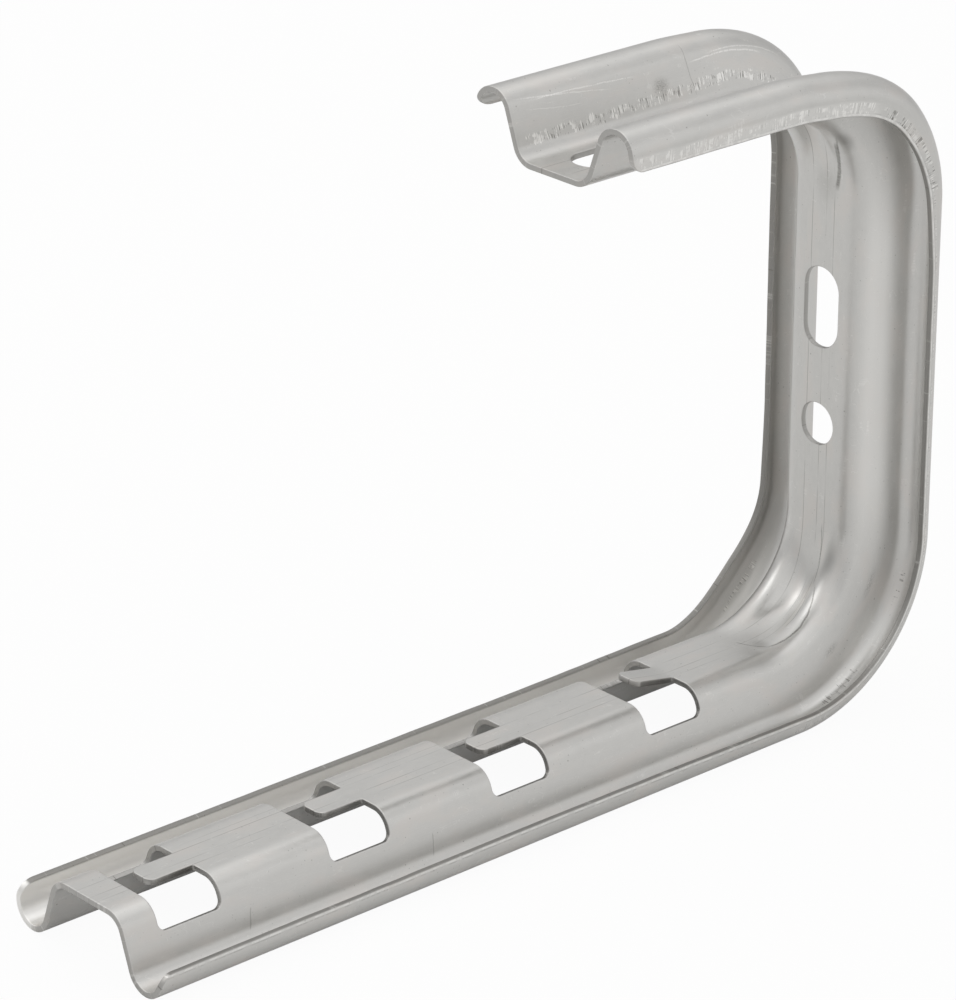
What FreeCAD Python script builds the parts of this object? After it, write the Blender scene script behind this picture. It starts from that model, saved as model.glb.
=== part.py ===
import FreeCAD, Part
import math
import os

# All sizes in mm. X runs along the arms, Y across the section, Z up.
sheet = 1.5

# Hat section: flat web, two sloping walls, an outward curl and a short lip on each side.
web_flat = 15.4
corner_bend = 5.25        # mid-sheet radius between web and wall
wall_slope = math.radians(70.0)
curl_bend = 5.25          # mid-sheet radius of the curl
section_depth = 17.0      # web face to the bottom of the curl
near_turn = math.radians(164.0)
near_lip = 0.8
far_turn = math.radians(188.0)
far_lip = 2.6
lip_corner = 4.0          # rounding of the lip at the four sheet ends
top_near_lip = 3.2        # the strip drifts sideways on the top arm: near lip longer,
top_drift = 25.0          # over this run from the bend,
top_far_tip = 10.0        # and far lip shorter, its tip this deep at the end

# The C shape, measured from the faces of the web that look into it.
lower_reach = 229.5
top_reach = 90.0
clear_height = 137.0
lower_bend = 27.0
top_bend = 23.5
dish_angle = math.radians(38.0)   # slope at the rim of the dish pressed in at each bend
bend_steps = 8            # sections of the dish along a bend
web_points = 6            # points across the dish
turn_stages = 3           # each bend's flanges are turned in equal stages
join_gap = 0.0005

# Wire notches in the lower arm.
notch_count = 4
notch_pitch = 50.0
notch_length = 18.0
notch_margin = 9.5        # free end to the first notch
notch_depth = 6.9
notch_corner = 2.0
punch_clearance = 4.0     # how far the punch starts above the sheet
tongue_width = 7.5
tongue_length = 12.4
tongue_corner = 2.2
lifted_angle = math.radians(11.0)  # the tongue next to the bend is bent up
lift_bend = 4.0

# Fixing holes.
hole_width = 12.0
slot_length = 21.0
wall_slot_height = 82.8   # above the lower web face
wall_hole_diameter = 11.0
wall_hole_height = 52.0
top_slot_reach = 71.5     # from the wall web face

half_web = web_flat / 2
face_rise = (corner_bend + curl_bend) * (1 - math.cos(wall_slope))
wall_length = (section_depth - sheet - face_rise) / math.sin(wall_slope)
overall_length = lower_reach + section_depth
overall_height = clear_height + 2 * section_depth
wall_x = overall_length / 2 - section_depth
low_z = section_depth
top_z = low_z + clear_height


def flange_steps(turn, lip):
    """Sheet from the edge of the flat web outwards, as lengths and turns."""
    return [
        ("arc", corner_bend, wall_slope),
        ("line", wall_length, 0),
        ("arc", curl_bend, -turn),
        ("line", lip, 0),
    ]


def walk(steps, start):
    """Follow the middle of the sheet; each leg keeps its start, middle and end."""
    spot = start
    legs = []
    for kind, size, turn in steps:
        stops = [spot]
        for part in (0.5, 1.0):
            stops.append(step_along(spot, kind, size * (part if kind == "line" else 1), turn * part))
        spot = stops[-1]
        legs.append((kind, stops))
    return legs


def step_along(spot, kind, size, turn):
    y, d, heading = spot
    if kind == "line":
        return (y + size * math.cos(heading), d + size * math.sin(heading), heading)
    side = 1 if turn > 0 else -1
    bend = heading + turn
    y += side * size * (math.sin(bend) - math.sin(heading))
    d += side * size * (math.cos(heading) - math.cos(bend))
    return (y, d, bend)


def offset(stop, shift, side):
    y, d, heading = stop
    return (side * (y - shift * math.sin(heading)), d + shift * math.cos(heading))


def leg_edge(kind, stops, shift, side, place):
    spots = [place(*offset(s, shift, side)) for s in stops]
    if kind == "line":
        return Part.LineSegment(spots[0], spots[2]).toShape()
    return Part.Arc(spots[0], spots[1], spots[2]).toShape()


def flange_legs(side, near=near_lip):
    turn = near_turn if side < 0 else far_turn
    lip = near if side < 0 else far_lip
    return walk(flange_steps(turn, lip), (half_web, sheet / 2, 0.0))


def tip_edge(legs, side, place):
    tip = legs[-1][1][2]
    ends = [place(*offset(tip, shift, side)) for shift in (-sheet / 2, sheet / 2)]
    return Part.LineSegment(*ends).toShape()


def closed_face(edges):
    return Part.Face(Part.Wire(Part.__sortEdges__(edges)))


def section(place, near=near_lip):
    """The whole hat section."""
    edges = []
    for side in (-1, 1):
        legs = flange_legs(side, near)
        for shift in (-sheet / 2, sheet / 2):
            edges += [leg_edge(kind, stops, shift, side, place) for kind, stops in legs]
        edges.append(tip_edge(legs, side, place))
    for d in (0, sheet):
        edges.append(Part.LineSegment(place(-half_web, d), place(half_web, d)).toShape())
    return closed_face(edges)


def flange(side, place):
    """One wall with its curl and lip, cut off square at the edge of the flat web."""
    legs = flange_legs(side)
    edges = [tip_edge(legs, side, place)]
    for shift in (-sheet / 2, sheet / 2):
        edges += [leg_edge(kind, stops, shift, side, place) for kind, stops in legs]
    edges.append(Part.LineSegment(place(side * half_web, 0), place(side * half_web, sheet)).toShape())
    return closed_face(edges)


def dished_line(dish, shift):
    """Web between its two ridges: level at both edges, sagging by the dish angle between."""
    if dish == 0:
        return [(half_web * (2 * i / web_points - 1), sheet / 2 + shift) for i in range(web_points + 1)]
    middle = half_web / math.sin(dish) - corner_bend
    start = (0.0, sheet / 2 + half_web * math.tan(dish / 2), 0.0)
    rim = corner_bend * dish
    total = middle * dish + rim
    half = []
    for i in range(web_points // 2 + 1):
        run = total * 2 * i / web_points
        spot = step_along(start, "arc", middle, -min(run / middle, dish))
        over = run - middle * dish
        if over > 0:
            spot = step_along(spot, "arc", corner_bend, over / corner_bend)
        half.append(spot)
    near = [offset(spot, shift, -1) for spot in reversed(half[1:])]
    return near + [offset(spot, shift, 1) for spot in half]


def smooth_edge(points, place):
    """Curve through the points that leaves both ends level with the flat web."""
    curve = Part.BSplineCurve()
    spots = [place(y, d) for y, d in points]
    along = (place(1, 0) - place(0, 0)) * (web_flat * 1.02)
    steps = [i / web_points for i in range(web_points + 1)]
    curve.interpolate(Points=spots, Parameters=steps, InitialTangent=along, FinalTangent=along, Scale=False)
    return curve.toShape()


def dished_section(place, dish):
    upper = smooth_edge(dished_line(dish, -sheet / 2), place)
    lower = smooth_edge(dished_line(dish, sheet / 2), place)
    sides = [Part.LineSegment(place(y, 0), place(y, sheet)).toShape() for y in (half_web, -half_web)]
    return Part.Wire(Part.__sortEdges__([upper, sides[0], lower, sides[1]]))


def lower_place(x):
    return lambda y, d: FreeCAD.Vector(x, y, low_z - d)


def top_place(x):
    return lambda y, d: FreeCAD.Vector(x, y, top_z + d)


def wall_place(z):
    return lambda y, d: FreeCAD.Vector(wall_x + d, y, z)


def bend_axis(radius, low):
    return FreeCAD.Vector(wall_x - radius, 0, low_z + radius if low else top_z - radius)


def bend_place(radius, angle, low):
    """Section turned about the bend's axis; angle 0 is at the arm."""
    centre = bend_axis(radius, low)
    down = -1 if low else 1

    def place(y, d):
        r = radius + d
        return centre + FreeCAD.Vector(r * math.sin(angle), y, down * r * math.cos(angle))
    return place


def pressed_bend(radius, low):
    """Quarter turn: flanges revolved, and between them the web dished in by the press."""
    axis = FreeCAD.Vector(0, -1 if low else 1, 0)
    stage = 90.0 / turn_stages
    pieces = []
    for k in range(turn_stages):
        start = bend_place(radius, math.radians(k * stage), low)
        pieces += [flange(side, start).revolve(bend_axis(radius, low), axis, stage) for side in (-1, 1)]
    wires = []
    for i in range(bend_steps + 1):
        angle = math.pi / 2 * i / bend_steps
        press = 0.0 if i in (0, bend_steps) else math.sin(2 * angle) ** 2
        wires.append(dished_section(bend_place(radius, angle, low), dish_angle * press))
    return pieces + [Part.makeLoft(wires, True, False)]


def sheet_body():
    run_low = lower_reach - lower_bend
    run_top = top_reach - top_bend
    rise = clear_height - lower_bend - top_bend
    lower = section(lower_place(wall_x - lower_reach)).extrude(FreeCAD.Vector(run_low, 0, 0))
    wall = section(wall_place(low_z + lower_bend)).extrude(FreeCAD.Vector(0, 0, rise))
    top = section(top_place(wall_x - top_reach), top_near_lip).extrude(FreeCAD.Vector(run_top, 0, 0))
    bends = pressed_bend(lower_bend, True) + pressed_bend(top_bend, False)
    return lower.fuse([wall, top] + bends, join_gap)


def slot_tool(length, width, thick):
    """Round-ended tool lying along X, centred, cutting through Z."""
    r = width / 2
    tool = Part.makeCylinder(r, thick, FreeCAD.Vector(0, 0, -thick / 2))
    straight_part = length - width
    if straight_part > 0:
        tool.translate(FreeCAD.Vector(-straight_part / 2, 0, 0))
        other = tool.copy()
        other.translate(FreeCAD.Vector(straight_part, 0, 0))
        corner = FreeCAD.Vector(-straight_part / 2, -r, -thick / 2)
        tool = tool.fuse([other, Part.makeBox(straight_part, width, thick, corner)])
    return tool


def fixing_holes():
    deep = 4 * sheet
    tools = []
    for length, width, height in (
        (slot_length, hole_width, wall_slot_height),
        (wall_hole_diameter, wall_hole_diameter, wall_hole_height),
    ):
        tool = slot_tool(length, width, deep)
        tool.rotate(FreeCAD.Vector(0, 0, 0), FreeCAD.Vector(0, 1, 0), 90)
        tool.translate(FreeCAD.Vector(wall_x + sheet / 2, 0, low_z + height))
        tools.append(tool)
    tool = slot_tool(slot_length, hole_width, deep)
    tool.translate(FreeCAD.Vector(wall_x - top_slot_reach, 0, top_z + sheet / 2))
    tools.append(tool)
    return tools


def notch_start(i):
    return wall_x - lower_reach + notch_margin + i * notch_pitch


def notch_tool(i):
    """Punch across the web and down both walls, its lower corners rounded."""
    start = notch_start(i)
    width = 2 * (half_web + corner_bend + wall_length * math.cos(wall_slope))
    height = notch_depth + punch_clearance
    block = Part.makeBox(notch_length, width, height,
                         FreeCAD.Vector(start, -width / 2, low_z - notch_depth))
    low_edges = [e for e in block.Edges
                 if abs(e.CenterOfMass.z - (low_z - notch_depth)) < 0.01
                 and abs(e.CenterOfMass.y) < 0.01]
    return block.makeFillet(notch_corner, low_edges)


def tongue(i):
    """Tongue left in the notch, pointing to the free end; the last one is bent up."""
    root = notch_start(i) + notch_length
    lift = lifted_angle if i == notch_count - 1 else 0.0
    tail = tongue_corner / 2
    if lift == 0:
        plate = Part.makeBox(tongue_length + tail, tongue_width, sheet,
                             FreeCAD.Vector(root - tongue_length, -tongue_width / 2, low_z - sheet))
    else:
        plate = bent_plate(root, lift, tail)
    outline = tongue_outline(root, tail)
    return plate.common(outline)


def bent_plate(root, lift, tail):
    """Side view of the bent tongue: a flat root, a small bend and a straight end."""
    y = -tongue_width / 2
    under = low_z - sheet
    centre = FreeCAD.Vector(root, y, low_z + lift_bend)

    def arc_spot(r, a):
        return centre + FreeCAD.Vector(-r * math.sin(a), 0, -r * math.cos(a))
    inner = lift_bend
    outer = lift_bend + sheet
    along = FreeCAD.Vector(-math.cos(lift), 0, math.sin(lift)) * (tongue_length - lift_bend * lift)
    lower_arc = [arc_spot(outer, a) for a in (0, lift / 2, lift)]
    upper_arc = [arc_spot(inner, a) for a in (lift, lift / 2, 0)]
    tail_low = FreeCAD.Vector(root + tail, y, under)
    tail_high = FreeCAD.Vector(root + tail, y, low_z)
    edges = [
        Part.LineSegment(tail_low, lower_arc[0]),
        Part.Arc(*lower_arc),
        Part.LineSegment(lower_arc[2], lower_arc[2] + along),
        Part.LineSegment(lower_arc[2] + along, upper_arc[0] + along),
        Part.LineSegment(upper_arc[0] + along, upper_arc[0]),
        Part.Arc(*upper_arc),
        Part.LineSegment(upper_arc[2], tail_high),
        Part.LineSegment(tail_high, tail_low),
    ]
    side = Part.Face(Part.Wire([e.toShape() for e in edges]))
    return side.extrude(FreeCAD.Vector(0, tongue_width, 0))


def tongue_outline(root, tail):
    """Plan of the tongue with its two tip corners rounded."""
    tall = tongue_length
    corner = FreeCAD.Vector(root - tongue_length, -tongue_width / 2, low_z - tall / 2)
    block = Part.makeBox(tongue_length + tail, tongue_width, tall, corner)
    tip_edges = [e for e in block.Edges
                 if abs(e.CenterOfMass.x - (root - tongue_length)) < 0.01
                 and abs(e.CenterOfMass.z - low_z) < 0.01]
    return block.makeFillet(tongue_corner, tip_edges)


def lip_reach(side, near=near_lip):
    """Depth below the web of a lip's tip, at the higher of its two corners."""
    last = flange_legs(side, near)[-1][1][2]
    return min(offset(last, s, 1)[1] for s in (-sheet / 2, sheet / 2))


def lip_band(side):
    """Inner edge and width, along Y, of the strip that holds one side's lip."""
    inside = flange_legs(1)[1][1][2][0] + curl_bend
    band = 2 * (curl_bend + sheet)
    return (inside if side > 0 else -inside - band), band


def lip_tapers():
    """Cuts that let the near lip grow and the far lip shrink along the top arm."""
    bend_end = wall_x - top_bend
    arm_end = wall_x - top_reach
    near_short = lip_reach(-1)
    near_long = lip_reach(-1, top_near_lip)
    far_tip = lip_reach(1)
    outlines = {
        -1: [(bend_end, near_short), (bend_end - top_drift, near_long), (bend_end, near_long - sheet)],
        1: [(bend_end, far_tip), (arm_end - sheet, far_tip - sheet), (arm_end - sheet, top_far_tip)],
    }
    tools = []
    for side, corners in outlines.items():
        y, band = lip_band(side)
        spots = [FreeCAD.Vector(x, y, top_z + d) for x, d in corners]
        triangle = Part.Face(Part.makePolygon(spots + spots[:1]))
        tools.append(triangle.extrude(FreeCAD.Vector(0, band, 0)))
    return tools


def lip_corners():
    """Tools that round off the four outer corners of the lips at the sheet ends."""
    tools = []
    tips = {(-1, -1): lip_reach(-1), (-1, 1): lip_reach(-1, top_near_lip),
            (1, -1): lip_reach(1), (1, 1): top_far_tip}
    for side in (-1, 1):
        y, band = lip_band(side)
        for reach, face, out in ((lower_reach, low_z, -1), (top_reach, top_z, 1)):
            tip = tips[(side, out)]
            end = wall_x - reach
            block_z = face + out * tip if out > 0 else face - tip - lip_corner
            block = Part.makeBox(lip_corner, band, lip_corner,
                                 FreeCAD.Vector(end, y, block_z))
            axis_z = face + out * (tip + lip_corner)
            round_part = Part.makeCylinder(lip_corner, band,
                                           FreeCAD.Vector(end + lip_corner, y, axis_z),
                                           FreeCAD.Vector(0, 1, 0))
            tools.append(block.cut(round_part))
    return tools


def bracket():
    body = sheet_body()
    punches = [notch_tool(i) for i in range(notch_count)]
    body = body.cut(punches + fixing_holes() + lip_tapers() + lip_corners())
    body = body.fuse([tongue(i) for i in range(notch_count)])
    return body.Solids[0] if len(body.Solids) == 1 else body


os.makedirs("parts", exist_ok=True)
shape = bracket()
print("solids", len(shape.Solids), "valid", shape.isValid(), "volume", round(shape.Volume, 1))
box = shape.BoundBox
print("size", round(box.XLength, 3), round(box.YLength, 3), round(box.ZLength, 3))
shape.exportStep("parts/bracket.step")
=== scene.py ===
import bisect
import math
import random

import bmesh
import bpy
from mathutils import Euler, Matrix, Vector
from mathutils.geometry import delaunay_2d_cdt


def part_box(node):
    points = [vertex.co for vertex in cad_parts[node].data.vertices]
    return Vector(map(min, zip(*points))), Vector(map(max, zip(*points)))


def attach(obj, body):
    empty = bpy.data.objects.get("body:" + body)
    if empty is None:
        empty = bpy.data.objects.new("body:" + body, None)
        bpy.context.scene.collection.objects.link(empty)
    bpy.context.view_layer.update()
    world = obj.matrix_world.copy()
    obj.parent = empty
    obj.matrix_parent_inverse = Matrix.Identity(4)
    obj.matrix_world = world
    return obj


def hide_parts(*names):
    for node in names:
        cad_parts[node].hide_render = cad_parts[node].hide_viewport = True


mm = 0.001
metre = 1000.0                        # in mm
scene = bpy.context.scene
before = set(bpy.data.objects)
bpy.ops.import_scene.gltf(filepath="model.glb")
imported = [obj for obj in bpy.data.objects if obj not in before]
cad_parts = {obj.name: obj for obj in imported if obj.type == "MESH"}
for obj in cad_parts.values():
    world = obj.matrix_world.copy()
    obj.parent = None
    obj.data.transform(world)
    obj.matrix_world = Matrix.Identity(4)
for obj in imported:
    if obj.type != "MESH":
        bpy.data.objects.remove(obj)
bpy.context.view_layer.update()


class Wire:
    # one socket of a node tree that can stand in a Python expression
    def __init__(self, tree, socket=None):
        self.tree = tree
        self.socket = socket

    def node(self, kind, settings=None, inputs=None, output=0):
        made = self.tree.nodes.new(kind)
        for name, value in (settings or {}).items():
            setattr(made, name, value)
        for key, value in (inputs or {}).items():
            if isinstance(value, Wire):
                self.tree.links.new(value.socket, made.inputs[key])
            else:
                made.inputs[key].default_value = value
        return Wire(self.tree, made.outputs[output]) if len(made.outputs) else None

    def out(self, key):
        return Wire(self.tree, self.socket.node.outputs[key])

    def calc(self, operation, *others):
        terms = dict(enumerate((self,) + others))
        return self.node("ShaderNodeMath", {"operation": operation}, terms)

    def backwards(self, operation, other):
        return self.node("ShaderNodeMath", {"operation": operation}, {0: other, 1: self})

    def __add__(self, other):
        return self.calc("ADD", other)

    def __radd__(self, other):
        return self.calc("ADD", other)

    def __sub__(self, other):
        return self.calc("SUBTRACT", other)

    def __rsub__(self, other):
        return self.backwards("SUBTRACT", other)

    def __mul__(self, other):
        return self.calc("MULTIPLY", other)

    def __rmul__(self, other):
        return self.calc("MULTIPLY", other)

    def __truediv__(self, other):
        return self.calc("DIVIDE", other)

    def __rtruediv__(self, other):
        return self.backwards("DIVIDE", other)

    def __pow__(self, other):
        return self.calc("POWER", other)

    def __gt__(self, other):
        return self.calc("GREATER_THAN", other)

    def __lt__(self, other):
        return self.calc("LESS_THAN", other)

    def sin(self):
        return self.calc("SINE")

    def cos(self):
        return self.calc("COSINE")

    def between(self, low, high):
        return self.calc("MAXIMUM", low).calc("MINIMUM", high)

    def ease(self, low, high):
        # 0 below low, 1 above high, smooth between
        span = {0: self, 1: low, 2: high, 3: 0.0, 4: 1.0}
        return self.node("ShaderNodeMapRange", {"interpolation_type": "SMOOTHSTEP"}, span)

    def xyz(self):
        parts = self.node("ShaderNodeSeparateXYZ", inputs={0: self})
        return parts.out(0), parts.out(1), parts.out(2)


boxLow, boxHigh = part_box("bracket")
bracketSheet = {                      # mm and degrees
    "sheet": 1.5,
    "webFlat": 15.4,                  # flat of the hat section
    "cornerBend": 5.25,               # mid-sheet radius, web to wall
    "wallSlope": 70.0,
    "curlBend": 5.25,                 # mid-sheet radius of the curl
    "nearTurn": 164.0,
    "nearLip": 0.8,
    "farTurn": 176.0,
    "farLip": 3.2,
    "lipCorner": 4.0,
    "sectionDepth": 17.0,
    "lowerBend": 27.0,                # inside radii of the C, on the web
    "topBend": 23.5,
    "topReach": 90.0,
    "dishAngle": 38.0,                # rim slope of the dish in each bend
    "lipRise": 3.5,                   # how far the far lip pulls in at the lower bend
    "topPullNear": 1.5,               # how far the curls pull in where the top bend ends
    "topPullFar": 0.8,
    "uprightPinch": 1.2,              # the upright's far corner stands in from the hat section's
    "edgeRound": 0.22,                # roll of the punched and cut edges
}
blankMesh = {                         # mm between points, unless the note says otherwise
    "straightStep": 2.2,
    "bendStep": 0.85,
    "arcStep": 0.58,
    "flatStep": 1.5,
    "lipStep": 0.812,
    "cornerStep": 0.42,
    "leastCorner": 0.02,              # radius that an inset corner keeps
    "sideGap": 0.5,                   # no grid stop this near to a corner
    "edgeSupport": 0.18,              # flat kept beside the rolled edge
    "guardGap": 0.32,                 # clear of grid points beside that
    "squareCorner": 6.0,              # the outline is square further in than this
    "rollAngles": (0, 30, 60, 90),    # degrees round the edge
}
lipDrift = {                          # leg, part of it, and how much longer the lip is there
    "near": [("lower", 0.5, 0.0), ("rise", 0.1, -1.5), ("rise", 0.75, -1.4),
             ("topArc", 0.5, 2.3), ("top", 0.4, 2.4)],
    "far": [("lower", 0.72, 0.0), ("lowerArc", 0.1, 0.7), ("lowerArc", 0.8, 0.5),
            ("rise", 0.25, -0.9), ("topArc", 0.2, -0.9), ("top", 1.0, -4.4)],
}
lipWaver = {                          # the sheared lips aren't quite straight
    "height": 0.05,
    "reach": 2.5,                     # fades out this far from the edge
    "waves": 9,
    "rates": (0.05, 0.9),             # radians for each mm
    "sideShift": 40,                  # mm between the two sides' patterns
    "seed": 7,
}
notchSizes = {
    "count": 4,
    "pitch": 50.0,
    "length": 18.0,
    "margin": 9.5,
    "depth": 6.9,
    "corner": 2.0,
    "tongueWidth": 7.5,
    "tongueLength": 12.4,
    "tongueCorner": 2.2,
    "rootCorner": 0.5,
    "lift": 11.0,                     # degrees, the last tongue only
    "liftBend": 4.75,
    "liftSide": 0.3,                  # the lift takes in this much beyond the tongue's outline
    "liftTip": 0.5,
}
holeSizes = {
    "width": 12.0,
    "slotLength": 21.0,
    "wallSlotHeight": 82.8,
    "wallHole": 11.0,
    "wallHoleHeight": 52.0,
    "topSlotReach": 71.5,
}


def stripPlan(sizes):
    # lengths along the strip and across it, worked out from the box and the section
    plan = dict(sizes)
    length = (boxHigh.x - boxLow.x) / mm
    height = (boxHigh.z - boxLow.z) / mm
    slope = math.radians(sizes["wallSlope"])
    faceRise = (sizes["cornerBend"] + sizes["curlBend"]) * (1 - math.cos(slope))
    plan["halfWeb"] = sizes["webFlat"] / 2
    plan["cornerRun"] = sizes["cornerBend"] * slope
    plan["wallRun"] = (sizes["sectionDepth"] - sizes["sheet"] - faceRise) / math.sin(slope)
    plan["nearCurl"] = sizes["curlBend"] * math.radians(sizes["nearTurn"])
    plan["farCurl"] = sizes["curlBend"] * math.radians(sizes["farTurn"])
    inner = plan["halfWeb"] + plan["cornerRun"] + plan["wallRun"]
    plan["wallStart"] = plan["halfWeb"] + plan["cornerRun"]
    plan["curlStart"] = inner
    plan["nearEdge"] = inner + plan["nearCurl"] + sizes["nearLip"]
    plan["farEdge"] = inner + plan["farCurl"] + sizes["farLip"]
    plan["lowerReach"] = length - sizes["sectionDepth"]
    plan["clearHeight"] = height - 2 * sizes["sectionDepth"]
    plan["lowerRun"] = plan["lowerReach"] - sizes["lowerBend"]
    plan["riseRun"] = plan["clearHeight"] - sizes["lowerBend"] - sizes["topBend"]
    plan["topRun"] = sizes["topReach"] - sizes["topBend"]
    plan["midDepth"] = sizes["sectionDepth"] / 2       # bends are unrolled at this depth
    plan["lowerArc"] = math.pi / 2 * (sizes["lowerBend"] + plan["midDepth"])
    plan["topArc"] = math.pi / 2 * (sizes["topBend"] + plan["midDepth"])
    plan["riseStart"] = plan["lowerRun"] + plan["lowerArc"]
    plan["topArcStart"] = plan["riseStart"] + plan["riseRun"]
    plan["total"] = plan["topArcStart"] + plan["topArc"] + plan["topRun"]
    plan["wallX"] = boxHigh.x / mm - sizes["sectionDepth"]
    plan["lowZ"] = boxLow.z / mm + sizes["sectionDepth"]
    return plan


def legPlace(plan, leg, part):
    # mm along the flat strip
    legs = {
        "lower": (0.0, plan["lowerRun"]),
        "lowerArc": (plan["lowerRun"], plan["lowerArc"]),
        "rise": (plan["riseStart"], plan["riseRun"]),
        "topArc": (plan["topArcStart"], plan["topArc"]),
        "top": (plan["topArcStart"] + plan["topArc"], plan["topRun"]),
    }
    start, length = legs[leg]
    return start + part * length


def driftAt(marks, s):
    # lip drift at one place, eased between the stated places
    if s <= marks[0][0]:
        return marks[0][1]
    for (a, low), (b, high) in zip(marks, marks[1:]):
        if s <= b:
            t = (s - a) / (b - a)
            return low + (high - low) * t * t * (3 - 2 * t)
    return marks[-1][1]


def evenStops(start, end, step):
    count = max(1, math.ceil((end - start) / step - 1e-6))
    return [start + (end - start) * i / count for i in range(count)]


def blankColumns(plan):
    straight, bend = blankMesh["straightStep"], blankMesh["bendStep"]
    marks = [
        (plan["lowerRun"], straight),
        (plan["riseStart"], bend),
        (plan["topArcStart"], straight),
        (plan["topArcStart"] + plan["topArc"], bend),
        (plan["total"], straight),
    ]
    columns = []
    start = 0.0
    for end, step in marks:
        columns += evenStops(start, end, step)
        start = end
    return columns + [plan["total"]]


def blankRows(plan):
    rows = []
    sides = ((-1, plan["nearEdge"], plan["nearCurl"]), (1, plan["farEdge"], plan["farCurl"]))
    for side, edge, curl in sides:
        marks = [
            (plan["halfWeb"], blankMesh["flatStep"]),
            (plan["wallStart"], blankMesh["arcStep"]),
            (plan["curlStart"], blankMesh["flatStep"]),
            (plan["curlStart"] + curl, blankMesh["arcStep"]),
            (edge, blankMesh["lipStep"]),
        ]
        start = 0.0
        for end, step in marks:
            rows += [side * v for v in evenStops(start, end, step)]
            start = end
        rows.append(side * edge)
    return sorted(set(round(v, 6) for v in rows))


def roundedLoop(corners, inset, columns, rows):
    # square-cornered outline with the metal on its left, moved into the metal by inset;
    # straight sides carry the grid's own stops, so each inset has as many points
    points = []
    total = len(corners)
    for i in range(total):
        s, v, radius = corners[i]
        before = corners[i - 1]
        after = corners[(i + 1) % total]
        a = unit(s - before[0], v - before[1])
        b = unit(after[0] - s, after[1] - v)
        leftTurn = a[0] * b[1] - a[1] * b[0] > 0
        r = max(radius - inset if leftTurn else radius + inset, blankMesh["leastCorner"])
        cs = s + inset * (-a[1] - b[1])
        cv = v + inset * (a[0] + b[0])
        segments = max(3, math.ceil(radius * math.pi / 2 / blankMesh["cornerStep"]))
        for k in range(segments + 1):
            t = math.pi / 2 * k / segments
            ds = -r * a[0] + r * b[0] - r * b[0] * math.cos(t) + r * a[0] * math.sin(t)
            dv = -r * a[1] + r * b[1] - r * b[1] * math.cos(t) + r * a[1] * math.sin(t)
            points.append((cs + ds, cv + dv))
        points += sideStops(corners[i], after, b, inset, columns if abs(b[0]) > 0.5 else rows)
    return points


def unit(x, y):
    size = math.hypot(x, y)
    return (x / size, y / size)


def sideStops(start, end, way, inset, stops):
    axis = 0 if abs(way[0]) > 0.5 else 1
    first = start[axis] + way[axis] * (start[2] + blankMesh["sideGap"])
    last = end[axis] - way[axis] * (end[2] + blankMesh["sideGap"])
    low, high = min(first, last), max(first, last)
    inside = stops[bisect.bisect_left(stops, low):bisect.bisect_right(stops, high)]
    if way[axis] < 0:
        inside = inside[::-1]
    fixed = start[1 - axis] + inset * (way[0] if axis == 0 else -way[1])
    return [(t, fixed) if axis == 0 else (fixed, t) for t in inside]


def notchCorners(i, n, plan):
    # clockwise, so that the metal is on the left; the tongue points to the free end
    start = n["margin"] + i * n["pitch"]
    end = start + n["length"]
    slope = math.radians(plan["wallSlope"])
    cornerDrop = plan["sheet"] / 2 + plan["cornerBend"] * (1 - math.cos(slope))
    reach = plan["wallStart"] + (n["depth"] - cornerDrop) / math.sin(slope)
    half = n["tongueWidth"] / 2
    tip = end - n["tongueLength"]
    return [
        (start, -reach, n["corner"]),
        (start, reach, n["corner"]),
        (end, reach, n["corner"]),
        (end, half, n["rootCorner"]),
        (tip, half, n["tongueCorner"]),
        (tip, -half, n["tongueCorner"]),
        (end, -half, n["rootCorner"]),
        (end, -reach, n["corner"]),
    ]


def roundHole(s, length, width):
    r = width / 2 - 0.001             # a hair less than half, so that the corners don't touch
    left, right, low, high = s - length / 2, s + length / 2, -width / 2, width / 2
    return [(left, low, r), (left, high, r), (right, high, r), (right, low, r)]


def blankOutlines(plan):
    c = plan["lipCorner"]
    outer = [
        (0.0, -plan["nearEdge"], c),
        (plan["total"], -plan["nearEdge"], c),
        (plan["total"], plan["farEdge"], c),
        (0.0, plan["farEdge"], c),
    ]
    loops = [outer]
    loops += [notchCorners(i, notchSizes, plan) for i in range(notchSizes["count"])]
    h = holeSizes
    atHeight = plan["riseStart"] - plan["lowerBend"]
    loops.append(roundHole(atHeight + h["wallSlotHeight"], h["slotLength"], h["width"]))
    loops.append(roundHole(atHeight + h["wallHoleHeight"], h["wallHole"], h["wallHole"]))
    topSlot = plan["total"] - (plan["topReach"] - h["topSlotReach"])
    loops.append(roundHole(topSlot, h["slotLength"], h["width"]))
    return loops


def inLoop(points, s, v):
    inside = False
    last = points[-1]
    for point in points:
        if (point[1] > v) != (last[1] > v):
            if s < (last[0] - point[0]) * (v - point[1]) / (last[1] - point[1]) + point[0]:
                inside = not inside
        last = point
    return inside


def loopBox(points):
    ss = [p[0] for p in points]
    vs = [p[1] for p in points]
    return min(ss), max(ss), min(vs), max(vs)


def inMetal(rings, s, v):
    near = blankMesh["squareCorner"]
    for k, (points, (s0, s1, v0, v1)) in enumerate(rings):
        if k == 0:
            # only the four corners of the outer ring are not square
            if not (s0 < s < s1 and v0 < v < v1):
                return False
            atCorner = min(s - s0, s1 - s) < near and min(v - v0, v1 - v) < near
            if atCorner and not inLoop(points, s, v):
                return False
        elif s0 < s < s1 and v0 < v < v1 and inLoop(points, s, v):
            return False
    return True


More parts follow.
